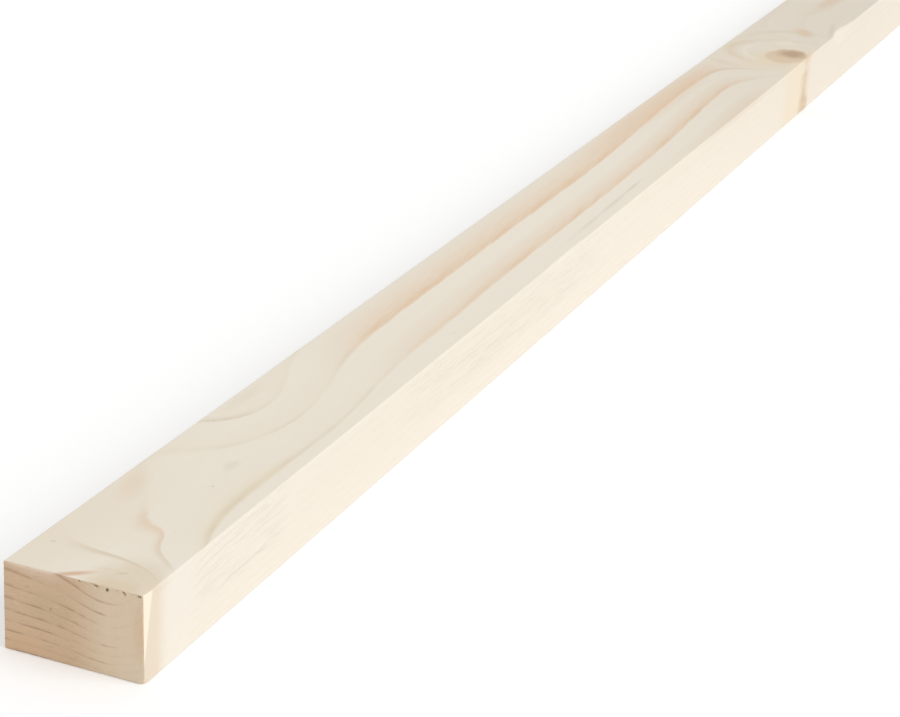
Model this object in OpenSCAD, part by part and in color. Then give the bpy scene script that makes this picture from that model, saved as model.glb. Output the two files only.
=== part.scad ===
// Planed softwood plank: one straight length of rectangular section, planed on all four
// long faces with its long edges lightly eased, and sawn square across both ends.
// Millimetres. The plank lies on a wide face: X along its length, Y across its width and
// Z up through its thickness. The origin is the middle of the underside.

/* [Plank] */
// Length between the sawn ends
plank_length = 2400; // [300:1:6000]
// Width of the wide faces, from edge to edge
plank_width = 44; // [18:0.5:300]
// Thickness between the wide faces
plank_thickness = 27; // [10:0.5:100]

/* [Edges] */
// Radius that eases the four long edges
arris_radius = 0.6; // [0.2:0.1:4]

/* [Hidden] */
// Number of sides of the circles that round the long edges
arris_sides = 48;
// Pale cream of freshly planed softwood
timber_colour = [0.91, 0.87, 0.80];

// Section of the plank, centred on its width and standing on the line y = 0:
// two crossed rectangles that reach the four faces, and a circle in each corner.
module planed_section(width, thickness, radius) {
    translate([-width / 2 + radius, 0])
        square([width - 2 * radius, thickness]);
    translate([-width / 2, radius])
        square([width, thickness - 2 * radius]);
    for (across = [-width / 2 + radius, width / 2 - radius])
        for (up = [radius, thickness - radius])
            translate([across, up])
                circle(r = radius, $fn = arris_sides);
}

// The whole plank: its section run along X, with a square cut at each end.
module plank() {
    color(timber_colour)
        translate([-plank_length / 2, 0, 0])
            rotate([90, 0, 90])
                linear_extrude(height = plank_length)
                    planed_section(plank_width, plank_thickness, arris_radius);
}

plank();
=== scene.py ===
import bpy
import math
from collections import namedtuple
from mathutils import Matrix, Vector
from types import SimpleNamespace


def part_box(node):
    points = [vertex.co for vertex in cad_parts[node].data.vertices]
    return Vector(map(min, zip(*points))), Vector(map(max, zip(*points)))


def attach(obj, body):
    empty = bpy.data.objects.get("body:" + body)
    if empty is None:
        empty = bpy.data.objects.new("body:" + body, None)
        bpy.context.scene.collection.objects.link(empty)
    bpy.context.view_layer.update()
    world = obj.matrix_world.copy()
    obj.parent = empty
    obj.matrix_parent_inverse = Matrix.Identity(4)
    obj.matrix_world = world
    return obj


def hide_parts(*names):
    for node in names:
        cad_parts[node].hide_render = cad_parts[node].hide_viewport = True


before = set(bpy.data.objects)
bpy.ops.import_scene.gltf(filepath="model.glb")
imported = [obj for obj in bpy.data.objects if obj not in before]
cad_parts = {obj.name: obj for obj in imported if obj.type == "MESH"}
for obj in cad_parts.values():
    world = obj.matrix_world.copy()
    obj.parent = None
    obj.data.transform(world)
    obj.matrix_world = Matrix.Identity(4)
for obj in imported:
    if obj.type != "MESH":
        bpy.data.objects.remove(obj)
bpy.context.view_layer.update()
lowCorner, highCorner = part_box("plank")
mm = 0.001
lengthMm, widthMm, thicknessMm = ((high - low) / mm for low, high in zip(lowCorner, highCorner))
print("frame loaded, plank of", round(lengthMm), "by", round(widthMm), "by", round(thicknessMm), "mm")


# A socket of a node tree. Arithmetic on it adds Math nodes to the same tree.
class Wire:
    def __init__(self, bench, socket):
        self.bench = bench
        self.socket = socket

    def math(self, operation, second=None):
        return self.bench.node("ShaderNodeMath", {"operation": operation}, {0: self, 1: second})

    def after(self, operation, first):
        return self.bench.node("ShaderNodeMath", {"operation": operation}, {0: first, 1: self})

    def __add__(self, other):
        return self.math("ADD", other)

    def __radd__(self, other):
        return self.after("ADD", other)

    def __sub__(self, other):
        return self.math("SUBTRACT", other)

    def __rsub__(self, other):
        return self.after("SUBTRACT", other)

    def __mul__(self, other):
        return self.math("MULTIPLY", other)

    def __rmul__(self, other):
        return self.after("MULTIPLY", other)

    def __truediv__(self, other):
        return self.math("DIVIDE", other)

    def __rtruediv__(self, other):
        return self.after("DIVIDE", other)

    def __pow__(self, other):
        return self.math("POWER", other)

    def __abs__(self):
        return self.math("ABSOLUTE")

    # another output of the same node
    def of(self, name):
        return Wire(self.bench, self.socket.node.outputs[name])


# A node tree that nodes are added to, for a material or for geometry.
class Bench:
    def __init__(self, tree):
        self.tree = tree

    # settings are set first, then each socket gets its value or its link
    def node(self, kind, settings=None, sockets=None, out=0):
        made = self.tree.nodes.new(kind)
        for name, value in (settings or {}).items():
            setattr(made, name, value)
        for key, value in (sockets or {}).items():
            self.feed(made.inputs[key], value)
        return Wire(self, made.outputs[out]) if made.outputs else made

    def feed(self, socket, value):
        if isinstance(value, Wire):
            self.tree.links.new(value.socket, socket)
        elif socket.type == "RGBA" and value is not None:
            socket.default_value = (*value, 1.0)
        elif value is not None:
            socket.default_value = value

    def vector(self, x, y, z):
        return self.node("ShaderNodeCombineXYZ", {}, {"X": x, "Y": y, "Z": z})

    def vectorMath(self, operation, first, second=None):
        return self.node("ShaderNodeVectorMath", {"operation": operation}, {0: first, 1: second})

    # goes from 0 to 1 as value goes from low to high, with soft ends
    def rise(self, value, low, high, curve="SMOOTHSTEP"):
        sockets = {"Value": value, "From Min": low, "From Max": high}
        return self.node("ShaderNodeMapRange", {"interpolation_type": curve}, sockets)

    # 1 between low and high, with soft flanks of the given width
    def between(self, value, low, high, flank):
        return self.rise(value, low - flank, low) * self.rise(value, high + flank, high)

    def mix(self, factor, first, second, kind="MIX"):
        settings = {"data_type": "RGBA", "blend_type": kind}
        return self.node("ShaderNodeMix", settings, {0: factor, 6: first, 7: second}, out=2)


# Places in the wood are in millimetres: along from the near end, across from the left edge and
# depth from the top face.
startCorner = (lowCorner.x, highCorner.y, highCorner.z)


def placeIn(bench, position):
    offset = bench.vectorMath("SUBTRACT", position, startCorner)
    spot = bench.vectorMath("MULTIPLY", offset, (1 / mm, -1 / mm, -1 / mm))
    parts = bench.node("ShaderNodeSeparateXYZ", {}, {0: spot})
    return SimpleNamespace(
        spot=spot,
        flat=bench.vectorMath("MULTIPLY", spot, (1, 1, 0)),
        along=parts.of("X"),
        across=parts.of("Y"),
        depth=parts.of("Z"),
    )


def placeOut(bench, spot):
    return bench.vectorMath("ADD", bench.vectorMath("MULTIPLY", spot, (mm, -mm, -mm)), startCorner)


# Noise in the wood: its size in millimetres along, across and through it, how much finer detail
# it has, and a shift that makes it unlike the others
pattern = namedtuple("pattern", "along across through detail shift")
patterns = {
    "slowWaver": pattern(190, 24, 24, 1, 0.0),
    "fineWaver": pattern(9, 1.7, 1.7, 3, 0.4),
    "tone": pattern(240, 20, 20, 2, 3.1),
    "mottle": pattern(38, 4, 4, 3, 7.7),
    "feather": pattern(15, 0.9, 0.9, 2, 2.9),
    "fibre": pattern(13, 0.32, 0.32, 3, 1.3),
    "blot": pattern(7, 5, 5, 2, 5.5),
    "lineBreaks": pattern(26, 13, 13, 1, 4.9),
    "dashes": pattern(24, 0.115, 1, 1, 5.2),  # its second size is in rings
    "endBreaks": pattern(50, 6, 2.2, 1, 2.4),
    "endFlecks": pattern(50, 1.9, 0.45, 2, 6.6),
    "pores": pattern(2, 0.22, 0.22, 2, 9.1),
    "sawLines": pattern(4, 0.5, 30, 2, 4.4),
    "sawMarks": pattern(4, 1.2, 40, 2, 0.0),
    "nicks": pattern(3, 1.1, 1.1, 2, 0.0),
    "arrisWander": pattern(35, 6, 6, 2, 6.3),
    "ragged": pattern(0.9, 0.9, 0.9, 2, 8.8),
    "tornEdge": pattern(9, 1, 1, 2, 1.8),
}
usualNoise = (0.33, 0.67)  # most of a noise lies between these
grainSlope = 0.11  # how far the fibres run across for each millimetre along


# Noise from 0 to 1, mostly near the middle
def noiseIn(bench, spot, name, seed=None):
    size = patterns[name]
    scaled = bench.vectorMath("DIVIDE", spot, (size.along, size.across, size.through))
    scaled = bench.vectorMath("ADD", scaled, (size.shift, size.shift, 0))
    if seed is not None:
        scaled = bench.vectorMath("ADD", scaled, bench.vector(seed, seed, 0))
    return bench.node("ShaderNodeTexNoise", {}, {"Vector": scaled, "Scale": 1.0, "Detail": size.detail})


# The same, spread over the whole of 0 to 1
def boldNoiseIn(bench, spot, name):
    return bench.rise(noiseIn(bench, spot, name), *usualNoise)


# The spot of a place, with across measured from a line that runs with the fibres
def withFibres(bench, place):
    return bench.vector(place.along, place.across + place.along * grainSlope, place.depth)


def squareOf(value):
    return value * value


# Growth rings
rings = {
    "across": 17.5,  # one ring, across the wide faces
    "firstBand": 15.5,  # where the first dark band ends on the top
    "down": 0.17,  # rings for each millimetre of depth, at the top
    "crowding": 0.0038,  # how soon they crowd together further down
    "swirlFade": 0.012,  # share of a swirl that is lost for each millimetre of depth
    "slowWaver": 0.06,  # how far the rings wander, in rings
    "fineWaver": 0.075,  # how ragged their edges are, in rings
    "fineLeast": 0.45,  # share of that where the rings are thin lines
    "knotReach": 4.3,  # how far a knot bends them
    "lostAtKnot": (1.3, 2.6),  # they come back over these radii of a knot
    "leftAtKnot": 0.15,  # what is left of them close to it
    "peak": 0.95,  # where in a ring its dark is fullest
    "drawnFrom": (-0.98, -0.7),  # rings counted lower than this are not drawn
}
# A place where the rings bulge: reach is how far, bulge how many rings, sharp how soon it ends
swirl = namedtuple("swirl", "along across reachAlong reachAcross bulge sharp")
swirls = [
    swirl(0, 34.5, 14.8, 17, -4.2, 1),  # behind the near end
    swirl(0, 20, 8, 30, -0.22, 2),
    swirl(0, -4, 14, 9, 0.5, 2),
    swirl(0, 2, 6, 12, -0.14, 2),
    swirl(32.8, 28.6, 8.4, 4.7, -0.32, 2),  # kink in the second line
    swirl(82.5, -5, 35.9, 20.8, 1.21, 4),  # saddle on the left edge
    swirl(128, 4.8, 34.9, 28.8, -1.13, 5),  # bowl on the left edge
    swirl(77.7, 45.6, 34.1, 13, -0.27, 3),  # dip in the third line
    swirl(215, 35, 45, 12, -0.07, 2),  # slow bends of the bands
    swirl(430, 13, 55, 9, -0.05, 2),
    swirl(530, 8, 50, 10, -0.05, 2),
    swirl(560, 20, 80, 40, 0.36, 3),  # grain crowding towards the big knot
    swirl(578, 28, 24, 9, 0.13, 2),
    swirl(602, 16, 18, 14, 0.18, 2),
    swirl(690, 24, 20, 26, -0.6, 3),  # behind the big knot
    swirl(800, 22, 120, 60, -0.5, 3),
    swirl(1010, 40, 90, 30, 0.6, 2),
    swirl(1480, 6, 120, 24, -0.8, 2),
    swirl(1960, 30, 150, 26, 0.7, 2),
]
# A branch that goes through the wood. lean moves it across for each millimetre of depth, and
# heart is how far along its dark middle lies, as a share of halfLong.
knot = namedtuple("knot", "along across halfLong halfWide lean bulge heart dark")
knots = [
    knot(651.5, 33.6, 15.2, 10.3, 0.06, -5.0, 0.36, 1.0),
    knot(1180, 11, 11, 7, -0.15, -4.0, -0.2, 0.9),
    knot(1292, 52.5, 10, 6.5, 0.0, -3.0, 0.2, 0.6),  # just outside, so that only the grain bends
    knot(1722, 24, 14, 8, 0.05, -4.5, 0.3, 1.0),
    knot(2212, 4, 10, 7, 0.25, -3.5, 0.0, 0.9),
]


# Where the look of the wood and its painted shade change along the plank, in millimetres
stretches = {
    "bandsStart": (160, 222),  # the bands are thin lines up to here
    "bandsEnd": (596, 640),  # along plus across, so that those on the right end sooner
    "bandsAgain": (860, 1000),
    # painted shade: where the far part of the plank starts to be painted darker, and where that fades out
    # again
    "farShadeStart": (380, 770),
    "farShadeEnd": (1000, 1200),
}


# 1 where the rings show as broad feathered bands, 0 near the end and around the big knot
def bandStretch(bench, place):
    lost = bench.rise(place.along + place.across, *stretches["bandsEnd"])
    lost = lost * bench.rise(place.along, *reversed(stretches["bandsAgain"]))
    return bench.rise(place.along, *stretches["bandsStart"]) * (1 - lost)


# 0 in the middle of a branch and 1 at its bark
def knotRadius(place, branch):
    offAlong = (place.along - branch.along) / branch.halfLong
    offAcross = (place.across - branch.across - place.depth * branch.lean) / branch.halfWide
    return (squareOf(offAlong) + squareOf(offAcross)).math("SQRT")


# How many growth rings lie between a fixed ring and each place in the wood
def ringCount(bench, place, knotRadii):
    downwards = place.depth * (place.depth * rings["crowding"] + rings["down"])
    count = (place.across - rings["firstBand"]) / rings["across"] + downwards + 1
    swirled = 0.0
    for bend in swirls:
        size = math.sqrt(bend.sharp)
        off = bench.vectorMath("SUBTRACT", place.flat, (bend.along, bend.across, 0))
        off = bench.vectorMath("DIVIDE", off, (bend.reachAlong * size, bend.reachAcross * size, 1))
        spread = bench.vectorMath("DOT_PRODUCT", off, off).of("Value")
        swirled = bend.bulge / (1 + spread) ** bend.sharp + swirled
    count = count + swirled * (1 - place.depth * rings["swirlFade"])
    for branch, radius in zip(knots, knotRadii):
        count = count + branch.bulge / squareOf(1 + squareOf(radius) / rings["knotReach"])
    count = count + (noiseIn(bench, place.spot, "slowWaver") - 0.5) * rings["slowWaver"]
    least = rings["fineLeast"]
    ragged = rings["fineWaver"] * (least + (1 - least) * bandStretch(bench, place))
    return count + (noiseIn(bench, place.spot, "fineWaver") - 0.5) * ragged


# The soft dark of a ring: it gathers evenly from start, and stops over edge, as shares of the ring
def softRing(bench, turn, start=0.42, edge=0.08):
    return bench.rise(turn, start, rings["peak"], "LINEAR") * bench.rise(turn, 1.0, 1 - edge)


# The darkest part at the end of a ring
def hardRing(bench, turn, start, edge=0.035):
    return bench.rise(turn, start, rings["peak"]) * bench.rise(turn, 1.0, 1 - edge)


# Torn and broken places. Each is cut into the mesh, and the material colours the pits and the sliver by the
# same rule.
# Pits under the top edge of the near end. lean moves a pit across for each millimetre down.
pit = namedtuple("pit", "across depth halfWide halfDown lean deep")
pits = [
    pit(24.0, 0.45, 0.55, 0.30, 0.6, 0.22),
    pit(29.1, 0.65, 0.70, 0.34, 0.0, 0.32),
    pit(32.5, 1.05, 0.50, 0.75, -0.2, 0.42),
    pit(35.6, 0.45, 0.60, 0.22, 0.0, 0.10),
    pit(37.7, 0.75, 0.50, 0.65, 0.9, 0.55),
    pit(40.4, 0.50, 0.60, 0.22, 0.0, 0.10),
    pit(42.4, 0.55, 0.70, 0.38, 0.4, 0.45),
]
pitLook = {
    "reach": 0.8,  # how far a pit goes in from the end
    "raggedAcross": 0.9,
    "raggedDown": 0.6,
    "inwards": 0.6,  # how far it moves the wood in from the end for each millimetre down
    "darkFrom": (0.01, 0.24),  # depths at which its dark starts and is full
    "dark": 0.9,
}
# Sliver off the right edge of the near end
sliver = {
    "long": 5.6,
    "deep": 0.6,
    "drop": 25,  # depth at which it has run out
    "inward": 6,
    "fullAt": -0.4,  # where it would be at its thickest, outside the end, as a share of long
    "leastTaper": 0.02,
    # the sliver's facet shows fresh torn wood, paler also as a painted highlight
    "freshFrom": (0.01, 0.16),  # thickness at which fresh wood starts and fully shows
}
brokenCorner = {"reach": 2.2, "deep": 0.45}  # low on the right of the near end
# Rounded part of the top edge of the near end. fades gives where it is lost and where it is full.
wornEdge = {"from": 5, "to": 15, "flank": 4, "fades": (4, 2), "inwards": 0.7, "down": 1.1}
# A strip torn off the top right edge: where it starts, is widest, thins out and stops along the plank
splinter = namedtuple("splinter", "start full thin stop wide")
splinters = [
    splinter(284, 306, 326, 348, 0.85),
    splinter(700, 715, 718, 756, 2.3),
]
splinterLook = {
    "slope": 2.5,  # how far a strip goes down for each millimetre inwards
    "leastWide": 0.6,  # shares of its width that stay and that vary along it
    "varies": 0.8,
}


# 1 in the middle of a pit and 0 outside it
def pitMask(place, hole, ragged):
    down = place.depth - hole.depth
    aside = place.across - hole.across - down * hole.lean + ragged * pitLook["raggedAcross"]
    aside = aside / hole.halfWide
    down = (down + ragged * pitLook["raggedDown"]) / hole.halfDown
    inside = 1 - squareOf(aside) - squareOf(down) - squareOf(place.along / pitLook["reach"])
    return inside.math("MAXIMUM", 0.0)


# 1 where the sliver is thickest
def sliverMask(bench, place):
    taper = (1 - place.depth / sliver["drop"]).math("MAXIMUM", sliver["leastTaper"])
    slope = bench.rise(place.along / taper, sliver["long"], sliver["fullAt"] * sliver["long"])
    inward = bench.rise(place.across, widthMm - sliver["inward"], widthMm)
    return slope * taper * inward


# How wide the torn strips are on the top face, in millimetres
def splinterWidth(bench, place):
    width = 0.0
    for strip in splinters:
        opening = bench.rise(place.along, strip.start, strip.full)
        width = opening * bench.rise(place.along, strip.stop, strip.thin) * strip.wide + width
    uneven = noiseIn(bench, bench.vector(place.along, 0, 0), "tornEdge") * splinterLook["varies"]
    return width * (splinterLook["leastWide"] + uneven)


woodColours = {
    "cream": (0.837, 0.770, 0.657),
    # painted light: the narrow faces get a slightly paler, bluer copy of the cream for the light that falls
    # on them
    "sideLitCream": (0.842, 0.774, 0.672),
    "warmCream": (0.815, 0.738, 0.612),
    "latewood": (0.765, 0.575, 0.400),
    "greyLine": (0.68, 0.575, 0.435),
    "dash": (0.745, 0.635, 0.52),
    "dashPale": (0.90, 0.835, 0.745),
    # painted shade: the grey that the long faces are multiplied by past the big knot
    "farShade": (0.885, 0.870, 0.858),  # what the top is dimmed by behind the big knot
    "knotRim": (0.685, 0.525, 0.355),
    "knotHeart": (0.455, 0.315, 0.195),
    "endCream": (0.682, 0.490, 0.322),
    "endPale": (0.766, 0.618, 0.440),
    "endRing": (0.45, 0.285, 0.18),
    "endSpeck": (0.86, 0.72, 0.56),
    # fresh torn wood, paler also as a painted highlight where the facet catches the light
    "freshWoodAndHighlight": (0.945, 0.820, 0.668),
    # dark of torn fibres and painted shade in the pits
    "tornGrainInShade": (0.17, 0.115, 0.07),
}
# A patch of darker or paler wood, an ellipsoid that the faces cut through. turn is in degrees.
stain = namedtuple("stain", "centre half colour strength soft turn", defaults=(0.5, 0.0))
faceStains = [
    stain((20, 0, 0), (48, 15, 4), (0.79, 0.70, 0.565), 0.65, 0.8),  # warm corner by the near end
    stain((5, 36, 0), (12, 10, 4), (0.71, 0.59, 0.43), 0.65),  # olive patch on the near end
    stain((1, 34, 0), (4, 8, 2), (0.68, 0.53, 0.35), 0.40, 0.7),  # browner edge of it
    stain((2.2, 20.3, 0), (5.2, 1.1, 1.2), (0.67, 0.45, 0.31), 0.95, 0.75, 53),  # resin streak
    stain((59, 6, 0), (9, 3.5, 2), (0.77, 0.63, 0.48), 0.50, 0.7, -20),  # warm smear on the left edge
    stain((85, 24.6, 0), (3.6, 1.7, 1), (0.68, 0.66, 0.55), 0.45, 0.7),  # grey smudge
    stain((8.8, 32.2, 0), (1.6, 0.5, 1), (0.58, 0.49, 0.36), 0.5, 0.6, 60),  # fleck in the olive patch
    stain((133, 3.5, 0), (12, 2.2, 2), (0.74, 0.66, 0.53), 0.35, 0.7),  # faint mark inside the bowl
    stain((215, 30, 0), (50, 8, 3), woodColours["cream"], 0.35, 0.6),  # paler start of the second band
    stain((69.5, 26.8, 0), (0.7, 0.4, 1), (0.62, 0.56, 0.46), 0.6),  # speck
    stain((16.5, 5.6, 0), (0.7, 0.9, 1), (0.62, 0.57, 0.47), 0.5),  # speck
    stain((219.5, 39.2, 0), (1.6, 0.6, 1), (0.66, 0.62, 0.55), 0.5),  # speck
    stain((367, 38.8, 0), (52, 0.9, 1), (0.70, 0.65, 0.55), 0.42, 0.6, -0.9),  # scratch
    stain((354, 39.0, 0), (10, 0.9, 1), (0.62, 0.56, 0.46), 0.55, 0.7, -0.9),  # deeper parts of it
    stain((383, 38.6, 0), (12, 0.8, 1), (0.60, 0.54, 0.44), 0.60, 0.7, -0.9),
    stain((408, 38.2, 0), (8, 0.7, 1), (0.62, 0.56, 0.46), 0.60, 0.7, -0.9),
    stain((400, 0, 0), (250, 3.5, 3), (0.76, 0.71, 0.60), 0.40, 0.6),  # grey left edge
    stain((300, 45, 0), (190, 7, 3), woodColours["cream"], 0.8, 0.5),  # clear right edge
    stain((540, 44, 0), (52, 2.4, 2), (0.745, 0.655, 0.52), 0.55, 0.6),  # browner part of it
    stain((528, 7, 0), (82, 6, 3), (0.765, 0.575, 0.405), 0.45, 0.5),  # dark stretch of the first band
    stain((623, 19, 0), (8, 12, 3), (0.76, 0.66, 0.52), 0.45, 0.6),  # smear before the big knot
    stain((622.5, 9.5, 0), (2.8, 9, 2), (0.69, 0.585, 0.46), 0.42, 0.7, 23),  # browner streak in it
    stain((642, 31, 0), (17, 13, 4), (0.78, 0.645, 0.44), 0.55, 0.6),  # halo of the big knot
    stain((676, 26, 0), (6, 5, 3), (0.85, 0.77, 0.63), 0.40, 0.6),  # pale place behind it
    stain((668.5, 34, 0), (4.5, 9, 3), (0.80, 0.67, 0.505), 0.40, 0.7),  # warm wood behind the knot
    stain((655, 43.6, 0), (8, 2.0, 2), (0.80, 0.61, 0.40), 0.75, 0.6),  # its orange right rim
    stain((702.5, 28.6, 0), (7.2, 4.2, 4), (0.66, 0.49, 0.32), 0.68, 0.7, -30),  # brown spot further back
    stain((699, 17.5, 0), (9, 3.0, 3), (0.69, 0.60, 0.47), 0.32, 0.7, 56),  # grey smear above that
    stain((785, 22.8, 0), (24, 4.0, 3), (0.69, 0.545, 0.41), 0.80, 0.6, 4),  # pink band behind it
    stain((752, 21.5, 0), (14, 2.2, 3), (0.70, 0.60, 0.48), 0.50, 0.7, 18),  # grey start of that band
    stain((717, 39.2, 0), (14, 1.3, 2), (0.60, 0.55, 0.47), 0.45, 0.6, -12),  # shade of the torn strip
    stain((775, 41.5, 0), (30, 2, 2), (0.68, 0.63, 0.55), 0.30, 0.6),  # grey edge behind it
    stain((633, 46, 14), (18, 5, 60), (0.815, 0.705, 0.545), 0.80),  # flank of the knot
    stain((655, 46, 14), (6.0, 4, 60), (0.75, 0.605, 0.45), 0.55, 0.6),  # heart of that flank
    # painted shade: tan along the near end's edge of the narrow face and beside the sliver
    stain((1, 47, 12), (10, 6, 60), (0.772, 0.664, 0.527), 1.0, 0.4),  # tan strip by the near end
    stain((18, 47, 12), (9, 5, 60), (0.84, 0.78, 0.69), 0.7, 0.4),  # pale strip beside it
]
endStains = [
    stain((0, 14.8, 11.3), (4, 6.0, 5), (0.61, 0.455, 0.285), 0.55),
    stain((0, 14.9, 11.2), (4, 0.35, 0.5), (0.36, 0.25, 0.15), 0.55),
    stain((0, 5, 24), (4, 9, 5.5), (0.735, 0.50, 0.295), 0.50, 0.7),
    stain((0, 7, 27), (4, 5.5, 0.6), (0.42, 0.28, 0.16), 0.50),
    stain((0, 43, 11), (4, 2.2, 8), (0.745, 0.535, 0.355), 0.6),
    stain((0, 40, 25), (4, 5, 5), (0.78, 0.64, 0.49), 0.6),
    # painted highlight: the top 2.6 mm of the near end, across 1 to 19 mm, painted paler and palest in the
    # top 0.8 mm, where the worn edge catches the light from above
    stain((0, 10, 0), (4, 9, 2.6), (0.77, 0.595, 0.45), 0.55, 0.6),
    stain((0, 10, 0), (4, 9, 0.8), (0.85, 0.72, 0.59), 0.50, 0.6),
    stain((0, 17.6, 0.4), (4, 2.4, 0.8), (0.70, 0.46, 0.31), 0.50, 0.7),
]
# Places where the ring lines show more, and where they fade
lineBoosts = [
    stain((34, 26, 0), (14, 10, 4), woodColours["latewood"], 0.60),
    stain((62, 38, 0), (32, 6, 4), (0.76, 0.66, 0.43), 0.48),
    stain((17, 27, 0), (7.5, 15, 4), (0.68, 0.58, 0.435), 0.70),
    stain((116, 7, 0), (12, 8, 4), (0.68, 0.575, 0.44), 0.28),
    stain((608, 17, 0), (16, 15, 4), (0.68, 0.57, 0.43), 0.50),
]
lineFades = [
    stain((7, 22, 0), (4, 12, 4), None, 0.8),
    stain((22, 2, 0), (18, 10, 4), None, 0.9),
    stain((52, 8, 0), (16, 10, 4), None, 0.9),
    stain((88, 4, 0), (12, 9, 4), None, 0.7),
    stain((165, 7, 0), (22, 10, 4), None, 0.8),
    stain((158, 22, 0), (22, 6, 4), None, 0.6),
    stain((130, 24, 0), (26, 5, 4), None, 0.45),
    stain((140, 11, 0), (12, 6, 4), None, 0.5),
]
# A soft ring around a knot on the top. thick is a share of its reach, and toward is the direction in
# which it shows most, in degrees turned from along to across.
arc = namedtuple("arc", "along across reachAlong reachAcross thick toward colour strength")
knotArcs = [
    arc(655, 33, 25.5, 28.5, 0.16, 256, (0.71, 0.585, 0.40), 0.80),
    arc(655, 33, 20, 21.5, 0.09, 252, (0.87, 0.81, 0.71), 0.40),
    arc(655, 33, 27.5, 28.5, 0.13, 322, (0.69, 0.60, 0.46), 0.46),
    arc(655, 31, 48, 31, 0.10, 332, (0.69, 0.60, 0.46), 0.46),
    arc(1180, 12, 22, 20, 0.14, 60, (0.70, 0.59, 0.43), 0.50),
    arc(1722, 24, 27, 22, 0.12, 250, (0.70, 0.59, 0.43), 0.50),
    arc(1722, 24, 36, 30, 0.07, 40, (0.70, 0.60, 0.45), 0.40),
]
# How rough an arc is, how squarely it faces its direction where it starts and is full, and the
# depths at which it is lost and at which it is full
arcLook = {"rough": 0.15, "faces": (0.45, 0.9), "depths": (2, 0.5)}


def stainMask(bench, place, patch, wobble):
    off = bench.vectorMath("SUBTRACT", place.spot, patch.centre)
    if patch.turn:
        sockets = {"Vector": off, "Angle": math.radians(-patch.turn)}
        off = bench.node("ShaderNodeVectorRotate", {"rotation_type": "Z_AXIS"}, sockets)
    radius = bench.vectorMath("LENGTH", bench.vectorMath("DIVIDE", off, patch.half)).of("Value")
    return bench.rise(radius + wobble, 1 + patch.soft, 1 - patch.soft)


def arcMask(bench, place, bow, wobble):
    off = bench.vectorMath("SUBTRACT", place.flat, (bow.along, bow.across, 0))
    off = bench.vectorMath("DIVIDE", off, (bow.reachAlong, bow.reachAcross, 1))
    radius = bench.vectorMath("LENGTH", off).of("Value")
    heading = math.radians(bow.toward)
    ahead = (math.cos(heading), math.sin(heading), 0)
    facing = bench.vectorMath("DOT_PRODUCT", bench.vectorMath("NORMALIZE", off), ahead).of("Value")
    onBow = bench.rise(abs(radius - 1 + wobble * arcLook["rough"]), bow.thick, 0.0)
    onBow = onBow * bench.rise(facing, *arcLook["faces"])
    return onBow * bench.rise(place.depth, *arcLook["depths"])


# The bands on the wide faces. Starts and edges are shares of a ring, the rest shares of its colour.
bandLook = {
    "nearEnd": 0.09,  # what is left of the bands by the near end
    "firstEnds": (1.05, 0.95),  # counts of rings between which the first one ends
    "start": 0.36,  # where the soft dark starts
    "firstSooner": 0.26,  # how much sooner it does in the first ring
    "edge": 0.10,
    "soft": 0.52,
    "feather": 0.30,  # what the fibres add to the soft dark
    "hardStart": 0.70,  # where the darkest part starts
    "hard": 0.10,
    "mottle": 0.42,  # what the mottle adds to the darkest part
    "strength": 0.95,
    "firstDarker": 0.15,  # what the first ring has more
}


# Dark bands of the rings on the wide faces, as a share of the latewood's colour
def bandShare(bench, wood):
    look = bandLook
    rich = look["nearEnd"] + (1 - look["nearEnd"]) * bandStretch(bench, wood.place)
    first = bench.rise(wood.count, *look["firstEnds"])
    start = look["start"] - look["firstSooner"] * first
    soft = softRing(bench, wood.turn, start, look["edge"])
    soft = soft * (look["soft"] + look["feather"] * wood.feather)
    hard = hardRing(bench, wood.turn, look["hardStart"], look["edge"])
    hard = hard * (look["hard"] + look["mottle"] * wood.mottle)
    share = (soft + hard) * (look["strength"] + look["firstDarker"] * first) * rich
    return share * wood.clear * bench.rise(wood.count, *rings["drawnFrom"])


# The dashes on the narrow faces, with places in millimetres
dashLook = {
    "darkNoise": (0.57, 0.67),  # noise from which a dark dash starts and is full
    "paleNoise": (0.44, 0.34),
    "pale": 0.7,  # strength of a pale dash, as a share of a dark one's
    "least": 0.15,  # how thickly they lie along the whole length
    "thick": [(34, 76, 12, 0.85), (190, 335, 30, 0.7)],  # where from, where to, flank, how much more
    "begin": (22, 32),
    "thinOut": (340, 470),
    "thinnedBy": 0.6,
    "lowest": (21, 15),  # depth at which there are none, and at which all show
}


# Short torn dashes on the narrow faces, which follow the rings: above 0 where dark, below 0 where pale. The
# dark is partly painted shade in the grooves that the bump cuts for them.
def sideDashes(bench, wood):
    look = dashLook
    along = wood.place.along
    noise = noiseIn(bench, bench.vector(along, wood.count, 0), "dashes")
    torn = bench.rise(noise, *look["darkNoise"]) - bench.rise(noise, *look["paleNoise"]) * look["pale"]
    thick = look["least"]
    for start, stop, flank, more in look["thick"]:
        thick = more * bench.between(along, start, stop, flank) + thick
    thick = thick * bench.rise(along, *look["begin"])
    thick = thick * (1 - look["thinnedBy"] * bench.rise(along, *look["thinOut"]))
    return torn * thick * bench.rise(wood.place.depth, *look["lowest"]) * wood.onSide


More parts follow.
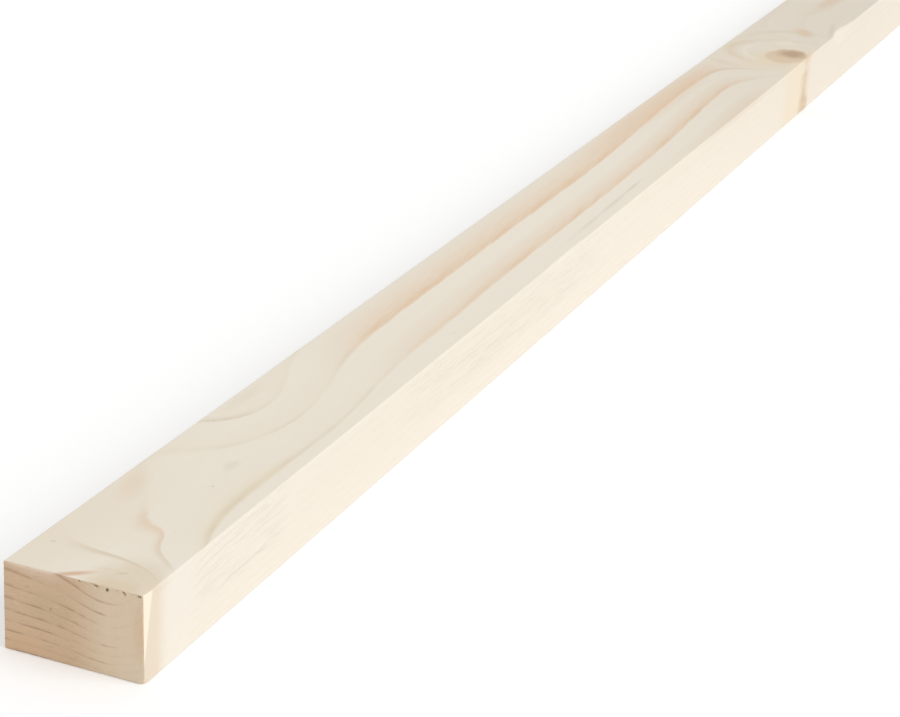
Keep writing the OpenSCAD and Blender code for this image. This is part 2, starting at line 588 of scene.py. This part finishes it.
# The four long faces. Starts and edges are shares of a ring, the rest shares of a colour.
faceLook = {
    "warmCream": 0.3,
    "warmNoise": (0.35, 0.75),  # noise from which the warm cream starts and is full
    "sideBands": 0.06,
    "boostStart": 0.68,
    "boostEdge": 0.09,
    "lineStart": 0.79,
    "lineEdge": 0.11,
    "lineLeast": 0.20,
    "lineBreaks": 0.55,  # how much the lines vary along their way
    "lineCore": 0.55,
    "lineFeather": 0.6,  # what the fibres add to them
    "darkDash": 0.38,
    "paleDash": 0.5,
    # share of the painted far shade that the narrow faces are spared
    "sideLessShaded": 0.6,
    "arcCore": 0.6,
    "arcMottle": 0.5,
    "knotRim": 0.8,
    "rimEdge": (1.10, 0.80),  # radii of a knot at which its colour starts and is full
    "knotHeart": 0.9,
    "heartEdge": (1.05, 0.20),
    "heartSlim": 1.35,  # how much shorter along than its knot a heart is
    "heartAside": 0.18,  # how far across from the middle of its knot, as a share of halfWide
}


def longFaceColour(bench, wood, bands, dashes):
    place = wood.place
    look = faceLook
    # painted light: the narrow faces take their light-tinted copy of the cream
    base = bench.mix(wood.onSide, woodColours["cream"], woodColours["sideLitCream"])
    warm = bench.rise(noiseIn(bench, place.spot, "tone"), *look["warmNoise"]) * look["warmCream"]
    colour = bench.mix(warm, base, woodColours["warmCream"])
    sideBands = look["sideBands"] * softRing(bench, wood.turn)
    colour = bench.mix(bands * (1 - wood.onSide) + sideBands * wood.onSide, colour, woodColours["latewood"])
    thin = bench.rise(place.along, *reversed(stretches["bandsStart"])) * (1 - wood.onSide)
    boosted = hardRing(bench, wood.turn, look["boostStart"], look["boostEdge"])
    for patch in lineBoosts:
        mask = stainMask(bench, place, patch, wood.wobble) * (1 - wood.onSide) * patch.strength
        colour = bench.mix(mask * boosted, colour, patch.colour)
    shown = look["lineLeast"] + look["lineBreaks"] * boldNoiseIn(bench, place.spot, "lineBreaks")
    shown = shown * (look["lineCore"] + look["lineFeather"] * wood.feather)
    shown = shown * bench.rise(wood.count, *rings["drawnFrom"])
    for patch in lineFades:
        shown = shown * (1 - stainMask(bench, place, patch, wood.wobble) * patch.strength)
    lines = hardRing(bench, wood.turn, look["lineStart"], look["lineEdge"]) * shown * thin
    colour = bench.mix(lines, colour, woodColours["greyLine"])
    # dark dashes: torn grain, partly painted shade in their grooves
    colour = bench.mix(dashes.math("MAXIMUM", 0.0) * look["darkDash"], colour, woodColours["dash"])
    paler = (0 - dashes).math("MAXIMUM", 0.0) * look["paleDash"]
    colour = bench.mix(paler, colour, woodColours["dashPale"])
    # painted shade: the long faces are dimmed from 380 mm along, fully from 770 to 1000 mm, and not past
    # 1200 mm; the narrow faces less
    dimmed = bench.rise(place.along, *stretches["farShadeStart"])
    dimmed = dimmed * bench.rise(place.along, *reversed(stretches["farShadeEnd"]))
    dimmed = dimmed * (1 - look["sideLessShaded"] * wood.onSide)
    colour = bench.mix(dimmed, colour, woodColours["farShade"], "MULTIPLY")
    for patch in faceStains:
        mask = stainMask(bench, place, patch, wood.wobble)
        colour = bench.mix(mask * patch.strength, colour, patch.colour)
    uneven = look["arcCore"] + look["arcMottle"] * wood.mottle
    for bow in knotArcs:
        mask = arcMask(bench, place, bow, wood.wobble)
        colour = bench.mix(mask * bow.strength * uneven, colour, bow.colour)
    for branch, radius in zip(knots, wood.knotRadii):
        offHeart = (place.along - branch.along) / branch.halfLong - branch.heart
        aside = (place.across - branch.across - place.depth * branch.lean) / branch.halfWide
        offHeart = squareOf(offHeart * look["heartSlim"])
        heartRadius = (offHeart + squareOf(aside - look["heartAside"])).math("SQRT")
        rim = bench.rise(radius + wood.wobble, *look["rimEdge"])
        heart = bench.rise(heartRadius + wood.wobble, *look["heartEdge"])
        colour = bench.mix(rim * look["knotRim"] * branch.dark, colour, woodColours["knotRim"])
        colour = bench.mix(heart * rim * look["knotHeart"] * branch.dark, colour, woodColours["knotHeart"])
    return colour


# The sawn ends, with places across in millimetres and shares of a ring or of a colour
endLook = {
    "paler": (20, 34),  # the end turns paler across here
    "linesFade": (30, 38),
    "linesFadeBy": 0.85,
    "lineStart": 0.88,
    "lineWider": 0.22,  # how much sooner a line starts where it is unbroken
    "lineEdge": 0.14,
    "lines": 0.9,
    "shade": 0.15,
    "shadeLostInPale": 0.8,
    "flecksLostInPale": 0.7,
    "darkFlecks": 0.3,
    "darkNoise": (0.60, 0.70),  # noise from which a dark fleck starts and is full
    "paleFlecks": 0.25,
    "paleNoise": (0.36, 0.27),
}


# Sawn ends: darker, with thin broken ring lines that fade towards the right
def sawnEndColour(bench, wood):
    place = wood.place
    look = endLook
    pale = bench.rise(place.across, *look["paler"])
    colour = bench.mix(pale, woodColours["endCream"], woodColours["endPale"])
    for patch in endStains:
        mask = stainMask(bench, place, patch, wood.wobble)
        colour = bench.mix(mask * patch.strength, colour, patch.colour)
    unbroken = boldNoiseIn(bench, place.spot, "endBreaks")
    unbroken = unbroken * (1 - look["linesFadeBy"] * bench.rise(place.across, *look["linesFade"]))
    start = look["lineStart"] - look["lineWider"] * unbroken
    lines = hardRing(bench, wood.turn, start, look["lineEdge"]) * unbroken
    shade = look["shade"] * softRing(bench, wood.turn) * (1 - look["shadeLostInPale"] * pale)
    colour = bench.mix(look["lines"] * lines + shade, colour, woodColours["endRing"])
    flecks = noiseIn(bench, place.spot, "endFlecks")
    towardsLeft = 1 - look["flecksLostInPale"] * pale
    dark = bench.rise(flecks, *look["darkNoise"]) * look["darkFlecks"] * towardsLeft
    colour = bench.mix(dark, colour, woodColours["endRing"])
    light = bench.rise(flecks, *look["paleNoise"]) * look["paleFlecks"] * towardsLeft
    return bench.mix(light, colour, woodColours["endSpeck"])


# The finish of the wood, with heights in millimetres
finish = {
    "roughness": 0.58,
    "roughnessSpread": 0.14,
    "gloss": 0.3,
    "fibreContrast": 0.13,
    "fibreHeight": 0.02,
    "bandHeight": 0.03,
    "dashDepth": 0.06,
    "planerPitch": 1.7,  # length of the ripples that a planer leaves
    "planerHeight": 0.002,
    "sawHeight": 0.06,
    "poreHeight": 0.05,
    "roughOutline": 0.32,  # how rough the outlines of stains and knots are
    "faceTurn": (0.55, 0.85),  # slope at which an end or a narrow face starts and is full
    "fibreShare": 0.6,  # of the fine streaks, the rest is the feather
    "darkStreak": (0.25, 0.25, 0.25),
    "paleStreak": (0.75, 0.75, 0.75),
}


def planedSoftwood():
    material = bpy.data.materials.new("planedSoftwood")
    material.use_nodes = True
    material.node_tree.nodes.clear()
    bench = Bench(material.node_tree)
    coordinates = bench.node("ShaderNodeTexCoord")
    place = placeIn(bench, coordinates.of("Object"))
    facing = bench.node("ShaderNodeSeparateXYZ", {}, {0: coordinates.of("Normal")})
    knotRadii = [knotRadius(place, branch) for branch in knots]
    count = ringCount(bench, place, knotRadii)
    fibres = withFibres(bench, place)
    clear = 1.0
    left = rings["leftAtKnot"]
    for radius in knotRadii:
        clear = (left + (1 - left) * bench.rise(radius, *rings["lostAtKnot"])) * clear
    wood = SimpleNamespace(
        place=place,
        onEnd=bench.rise(abs(facing.of("X")), *finish["faceTurn"]),
        onSide=bench.rise(abs(facing.of("Y")), *finish["faceTurn"]),
        knotRadii=knotRadii,
        count=count,
        turn=count.math("FRACT"),
        clear=clear,  # low close to the knots, where the rings are lost
        mottle=boldNoiseIn(bench, fibres, "mottle"),
        feather=boldNoiseIn(bench, fibres, "feather"),
        wobble=(noiseIn(bench, place.spot, "blot") - 0.5) * finish["roughOutline"],
    )
    bands = bandShare(bench, wood)
    dashes = sideDashes(bench, wood)
    colour = longFaceColour(bench, wood, bands, dashes)
    colour = bench.mix(wood.onEnd, colour, sawnEndColour(bench, wood))

    # torn and broken places
    # the sliver's facet: fresh torn wood, with a painted highlight where it catches the light
    fresh = bench.rise(sliverMask(bench, place), *sliver["freshFrom"]) * wood.onSide
    colour = bench.mix(fresh, colour, woodColours["freshWoodAndHighlight"])
    ragged = noiseIn(bench, place.spot, "ragged") - 0.5
    # the pits: painted shade, darker the deeper a pit goes, together with the dark of torn fibres
    dark = 0.0
    for hole in pits:
        dark = pitMask(place, hole, ragged) * hole.deep + dark
    dark = bench.rise(dark, *pitLook["darkFrom"]) * pitLook["dark"]
    colour = bench.mix(dark, colour, woodColours["tornGrainInShade"])

    # fibres, and pores on the ends
    fibre = noiseIn(bench, fibres, "fibre")
    pores = noiseIn(bench, place.spot, "pores")
    streak = fibre * finish["fibreShare"] + wood.feather * (1 - finish["fibreShare"])
    streak = streak * (1 - wood.onEnd) + pores * wood.onEnd
    grey = bench.mix(streak, finish["darkStreak"], finish["paleStreak"])
    colour = bench.mix(finish["fibreContrast"], colour, grey, "SOFT_LIGHT")

    # fine relief
    ripple = (place.along * (2 * math.pi / finish["planerPitch"])).math("SINE") * finish["planerHeight"]
    longHeight = fibre * finish["fibreHeight"] + bands * finish["bandHeight"] + ripple
    longHeight = longHeight - dashes * finish["dashDepth"]
    endHeight = noiseIn(bench, place.spot, "sawLines") * finish["sawHeight"] + pores * finish["poreHeight"]
    height = longHeight * (1 - wood.onEnd) + endHeight * wood.onEnd
    bump = bench.node("ShaderNodeBump", {}, {"Strength": 1.0, "Distance": mm, "Height": height})
    sockets = {
        "Base Color": colour,
        "Roughness": finish["roughness"] + finish["roughnessSpread"] * streak,
        "Specular IOR Level": finish["gloss"],
        "Normal": bump,
    }
    surface = bench.node("ShaderNodeBsdfPrincipled", {}, sockets)
    bench.node("ShaderNodeOutputMaterial", {}, {"Surface": surface})
    return material


# The plank's mesh: a fine box whose rows crowd at its ends and edges, eased along its arrises,
# with the hard grain a little proud and the torn places cut into it.
plankBody = {
    "Arris": 0.6,  # radius of the long edges
    "End Arris": 0.25,  # radius of the edges of the sawn ends
    "Arris Wander": 0.3,  # how much those radii vary, as a share
    "Grain Relief": 0.05,  # how far the soft wood lies below the hard
    "Saw Relief": 0.10,  # depth of the marks on the sawn ends
    "Ragged Edge": 0.22,  # depth of the nicks around the sawn ends
    "Seed": 4,  # another number gives other nicks and saw marks
}
# nicks lie this close to the edges of the sawn ends, and start and are full at this noise
nickLook = {"reach": 0.7, "noise": (0.52, 0.72)}
# rows of faces and the length that they share, None for what is left
rowsAlong = [
    (4, 0.6), (12, 4.4), (12, 10), (16, 45), (34, 220), (26, 75), (22, 265), (66, 185), (66, None),
    (14, 45), (10, 10), (10, 4.4), (4, 0.6),
]
rowsAcross = [(5, 0.8), (22, 21.2), (56, None), (5, 0.8)]
rowsThrough = [(5, 0.8), (46, None), (5, 0.8)]


# Turns a share from 0 to 1 into a length, with as many rows in each stretch as rows gives
def spaced(bench, share, rows, total):
    allRows = sum(count for count, run in rows)
    rest = total - sum(run for count, run in rows if run)
    done = 0
    reached = 0.0
    for count, run in rows:
        sockets = {
            "Value": share,
            "From Min": done / allRows,
            "From Max": (done + count) / allRows,
            "To Max": run or rest,
        }
        reached = bench.node("ShaderNodeMapRange", {}, sockets) + reached
        done += count
    return reached


# Layout of the plank's UV map, in shares of the sheet
sheet = {"gap": 0.006, "endHeight": 0.225, "endWidth": 0.37}


# Each half of each long face is a strip, and the two ends stand side by side above the strips
def layOut(bench, place, normal):
    axis = bench.node("ShaderNodeSeparateXYZ", {}, {0: normal})
    middle = bench.node("GeometryNodeFieldOnDomain", {"domain": "FACE"}, {0: place.along})
    far = middle.math("GREATER_THAN", lengthMm / 2)
    gap = sheet["gap"]
    girth = 2 * (widthMm + thicknessMm)
    scale = (1 - sheet["endHeight"] - 10 * gap) / (2 * girth)
    faces = [
        (axis.of("Z").math("GREATER_THAN", 0.5), place.across, widthMm),
        (axis.of("Y").math("LESS_THAN", -0.5), place.depth, thicknessMm),
        (axis.of("Z").math("LESS_THAN", -0.5), place.across, widthMm),
        (axis.of("Y").math("GREATER_THAN", 0.5), place.depth, thicknessMm),
    ]
    run = place.along / (lengthMm / 2) - far
    sideways = gap + run * (1 - 2 * gap)
    base = gap
    onLong = 0.0
    upwards = 0.0
    for mask, offset, size in faces:
        upwards = mask * (base + far * (girth * scale + 4 * gap) + offset * scale) + upwards
        onLong = mask + onLong
        base += size * scale + gap
    onEnd = 1 - onLong
    endSideways = gap + far * (sheet["endWidth"] + gap) + place.across / widthMm * sheet["endWidth"]
    endUpwards = 1 - gap - place.depth / thicknessMm * (sheet["endHeight"] - gap)
    return bench.vector(sideways * onLong + endSideways * onEnd, upwards + endUpwards * onEnd, 0.0)


# How far each place moves along, across and down where wood is missing, in millimetres
def tornAway(bench, place):
    ragged = noiseIn(bench, place.spot, "ragged") - 0.5
    pitted = 0.0
    for hole in pits:
        pitted = pitMask(place, hole, ragged) * hole.deep + pitted
    split = sliverMask(bench, place) * sliver["deep"]
    fromRight = widthMm - place.across
    fromCorner = squareOf(place.along) + squareOf(fromRight) + squareOf(thicknessMm - place.depth)
    corner = bench.rise(fromCorner.math("SQRT"), brokenCorner["reach"], 0.0) * brokenCorner["deep"]
    slope = splinterLook["slope"]
    missing = splinterWidth(bench, place) - fromRight - place.depth / slope
    strip = missing.math("MAXIMUM", 0.0) / (1 + 1 / slope ** 2)
    inwards = corner + pitted * pitLook["inwards"]
    return bench.vector(inwards, 0 - split - corner - strip, pitted + strip / slope)


def plankTree():
    tree = bpy.data.node_groups.new("plankBody", "GeometryNodeTree")
    tree.is_modifier = True
    for name in ("Length", "Width", "Thickness", *plankBody):
        tree.interface.new_socket(name, in_out="INPUT", socket_type="NodeSocketFloat")
    tree.interface.new_socket("Material", in_out="INPUT", socket_type="NodeSocketMaterial")
    tree.interface.new_socket("Mesh", in_out="OUTPUT", socket_type="NodeSocketGeometry")
    bench = Bench(tree)
    given = bench.node("NodeGroupInput")

    # the plain box with its rows
    sockets = {"Size": (1, 1, 1)}
    for axis, rows in zip("XYZ", (rowsAlong, rowsAcross, rowsThrough)):
        sockets["Vertices " + axis] = sum(count for count, run in rows) + 1
    mesh = bench.node("GeometryNodeMeshCube", {}, sockets)
    share = bench.node("ShaderNodeSeparateXYZ", {}, {0: bench.node("GeometryNodeInputPosition")})
    along = spaced(bench, share.of("X") + 0.5, rowsAlong, given.of("Length"))
    across = spaced(bench, 0.5 - share.of("Y"), rowsAcross, given.of("Width"))
    depth = spaced(bench, 0.5 - share.of("Z"), rowsThrough, given.of("Thickness"))
    box = placeOut(bench, bench.vector(along, across, depth))
    mesh = bench.node("GeometryNodeSetPosition", {}, {"Geometry": mesh, "Position": box})

    # its UV map
    place = placeIn(bench, bench.node("GeometryNodeInputPosition"))
    faceNormal = {"domain": "FACE", "data_type": "FLOAT_VECTOR"}
    flat = bench.node("GeometryNodeFieldOnDomain", faceNormal, {0: bench.node("GeometryNodeInputNormal")})
    uvMap = {"Geometry": mesh, "Name": "OFBake", "Value": layOut(bench, place, flat)}
    mesh = bench.node("GeometryNodeStoreNamedAttribute", {"data_type": "FLOAT2", "domain": "CORNER"}, uvMap)

    # eased edges: what reaches outside an inner box is turned into an arc
    wander = 1 + (noiseIn(bench, place.spot, "arrisWander") * 2 - 1) * given.of("Arris Wander")
    arris = given.of("Arris") * wander
    worn = bench.between(place.across, wornEdge["from"], wornEdge["to"], wornEdge["flank"])
    for inwards in (place.along, place.depth):
        worn = worn * bench.rise(inwards, *wornEdge["fades"])
    radii = bench.vector(
        given.of("End Arris") * wander + worn * wornEdge["inwards"],
        arris,
        arris + worn * wornEdge["down"],
    )
    half = bench.vector(given.of("Length") / 2, given.of("Width") / 2, given.of("Thickness") / 2)
    inner = bench.vectorMath("SUBTRACT", half, radii)
    centred = bench.vectorMath("SUBTRACT", place.spot, half)
    held = bench.vectorMath("MINIMUM", centred, inner)
    held = bench.vectorMath("MAXIMUM", held, bench.vectorMath("MULTIPLY", inner, (-1, -1, -1)))
    outside = bench.vectorMath("DIVIDE", bench.vectorMath("SUBTRACT", centred, held), radii)
    normal = bench.vectorMath("NORMALIZE", outside)
    eased = bench.vectorMath("ADD", held, bench.vectorMath("MULTIPLY", normal, radii))

    # relief: soft wood lies low, saw marks on the ends and nicks around them
    turn = ringCount(bench, place, [knotRadius(place, branch) for branch in knots]).math("FRACT")
    onEnd = abs(bench.node("ShaderNodeSeparateXYZ", {}, {0: normal}).of("X"))
    fromEnd = place.along.math("MINIMUM", given.of("Length") - place.along)
    fromSide = place.across.math("MINIMUM", given.of("Width") - place.across)
    fromFace = place.depth.math("MINIMUM", given.of("Thickness") - place.depth)
    rim = bench.rise(fromEnd, nickLook["reach"], 0.0)
    rim = rim * bench.rise(fromSide.math("MINIMUM", fromFace), nickLook["reach"], 0.0)
    nicks = bench.rise(noiseIn(bench, place.spot, "nicks", given.of("Seed")), *nickLook["noise"])
    lowered = (1 - softRing(bench, turn)) * given.of("Grain Relief") * (1 - onEnd)
    sawn = noiseIn(bench, place.spot, "sawMarks", given.of("Seed"))
    lowered = lowered + sawn * given.of("Saw Relief") * onEnd
    lowered = lowered + nicks * rim * given.of("Ragged Edge")
    sunk = bench.node("ShaderNodeVectorMath", {"operation": "SCALE"}, {0: normal, "Scale": 0 - lowered})
    settled = bench.vectorMath("ADD", bench.vectorMath("ADD", eased, sunk), half)
    settled = bench.vectorMath("ADD", settled, tornAway(bench, place))
    position = placeOut(bench, settled)
    mesh = bench.node("GeometryNodeSetPosition", {}, {"Geometry": mesh, "Position": position})
    mesh = bench.node("GeometryNodeSetShadeSmooth", {}, {"Geometry": mesh, "Shade Smooth": True})
    mesh = bench.node("GeometryNodeRealizeInstances", {}, {"Geometry": mesh})
    mesh = bench.node("GeometryNodeSetMaterial", {}, {"Geometry": mesh, "Material": given.of("Material")})
    bench.node("NodeGroupOutput", {}, {"Mesh": mesh})
    return tree


# Turns a tree into an object with a plain mesh
def makePiece(name, tree, values):
    piece = bpy.data.objects.new(name, bpy.data.meshes.new(name))
    bpy.context.scene.collection.objects.link(piece)
    modifier = piece.modifiers.new(name, "NODES")
    modifier.node_group = tree
    for socket in tree.interface.items_tree:
        if socket.in_out == "INPUT":
            modifier[socket.identifier] = values[socket.name]
    evaluated = piece.evaluated_get(bpy.context.evaluated_depsgraph_get())
    made = bpy.data.meshes.new_from_object(evaluated)
    piece.modifiers.remove(modifier)
    piece.data = made
    return piece


softwood = planedSoftwood()
print("softwood material made, with", len(softwood.node_tree.nodes), "nodes")
sizes = {"Length": lengthMm, "Width": widthMm, "Thickness": thicknessMm}
plank = makePiece("plank_body", plankTree(), {**sizes, **plankBody, "Material": softwood})
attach(plank, "root")
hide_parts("plank")
print("plank made, with", len(plank.data.polygons), "faces")

# The floor, the light and the camera
studio = {
    "skyLevel": 0.70,  # light from all round
    "keyLevel": 0.414,  # what the lamp alone gives to white that faces it
    "keyFrom": (-0.02, -0.787, 0.617),
    "keySoftness": 45,  # degrees that the lamp spreads over
    "floorSize": 60,
    "floorColour": (0.90, 0.90, 0.90),
    "floorGlow": (0.16, 0.16, 0.16),  # lifts the lit floor to white where it is seen
}
viewpoint = {
    "before": 0.5043,  # metres from the near end
    "aside": 0.3100,  # to the right of the plank's middle line
    "height": 0.3302,
    "turn": 22.09,  # degrees away from the plank's length, to its left
    "tilt": 21.84,  # degrees down
    "roll": 3.13,
    "lens": 97.8,
    "sensor": 36,
}


# 1 for rays that show the floor or the background itself, 0 for rays that carry its light
def seenDirectly(bench):
    rays = bench.node("ShaderNodeLightPath")
    seen = rays.of("Is Camera Ray").math("MAXIMUM", rays.of("Is Glossy Ray"))
    return seen.math("MAXIMUM", rays.of("Is Transmission Ray"))


def makeFloor():
    material = bpy.data.materials.new("paleFloor")
    material.use_nodes = True
    material.node_tree.nodes.clear()
    bench = Bench(material.node_tree)
    sockets = {
        "Base Color": studio["floorColour"],
        "Roughness": 1.0,
        "Specular IOR Level": 0.0,
        "Emission Color": bench.mix(seenDirectly(bench), (0, 0, 0), studio["floorGlow"]),
        "Emission Strength": 1.0,
    }
    surface = bench.node("ShaderNodeBsdfPrincipled", {}, sockets)
    bench.node("ShaderNodeOutputMaterial", {}, {"Surface": surface})
    reach = studio["floorSize"] / 2
    mesh = bpy.data.meshes.new("floor")
    corners = [(-reach, -reach, 0), (reach, -reach, 0), (reach, reach, 0), (-reach, reach, 0)]
    mesh.from_pydata(corners, [], [(0, 1, 2, 3)])
    mesh.materials.append(material)
    floor = bpy.data.objects.new("floor", mesh)
    bpy.context.scene.collection.objects.link(floor)


def makeLight():
    world = bpy.data.worlds.new("studioWorld")
    world.use_nodes = True
    world.node_tree.nodes.clear()
    bench = Bench(world.node_tree)
    level = studio["skyLevel"]
    colour = bench.mix(seenDirectly(bench), (level, level, level), (1, 1, 1))
    sky = bench.node("ShaderNodeBackground", {}, {"Color": colour})
    bench.node("ShaderNodeOutputWorld", {}, {"Surface": sky})
    bpy.context.scene.world = world
    lamp = bpy.data.lights.new("keyLamp", "SUN")
    lamp.energy = studio["keyLevel"] * math.pi
    lamp.angle = math.radians(studio["keySoftness"])
    key = bpy.data.objects.new("keyLamp", lamp)
    key.rotation_euler = Vector(studio["keyFrom"]).to_track_quat("Z", "Y").to_euler()
    bpy.context.scene.collection.objects.link(key)


def makeCamera():
    turn, tilt, roll = (math.radians(viewpoint[name]) for name in ("turn", "tilt", "roll"))
    forward = Vector((math.cos(turn) * math.cos(tilt), math.sin(turn) * math.cos(tilt), -math.sin(tilt)))
    level = forward.cross(Vector((0, 0, 1))).normalized()
    upright = level.cross(forward)
    right = level * math.cos(roll) + upright * math.sin(roll)
    up = upright * math.cos(roll) - level * math.sin(roll)
    camera = bpy.data.objects.new("camera", bpy.data.cameras.new("camera"))
    place = Vector((lowCorner.x - viewpoint["before"], -viewpoint["aside"], viewpoint["height"]))
    facing = Matrix((right, up, -forward)).transposed()
    camera.matrix_world = Matrix.Translation(place) @ facing.to_4x4()
    camera.data.lens = viewpoint["lens"]
    camera.data.sensor_width = viewpoint["sensor"]
    camera.data.sensor_fit = "HORIZONTAL"
    bpy.context.scene.collection.objects.link(camera)
    bpy.context.scene.camera = camera


makeFloor()
makeLight()
makeCamera()
bpy.context.scene.view_settings.view_transform = "Standard"
print("floor, light and camera made")
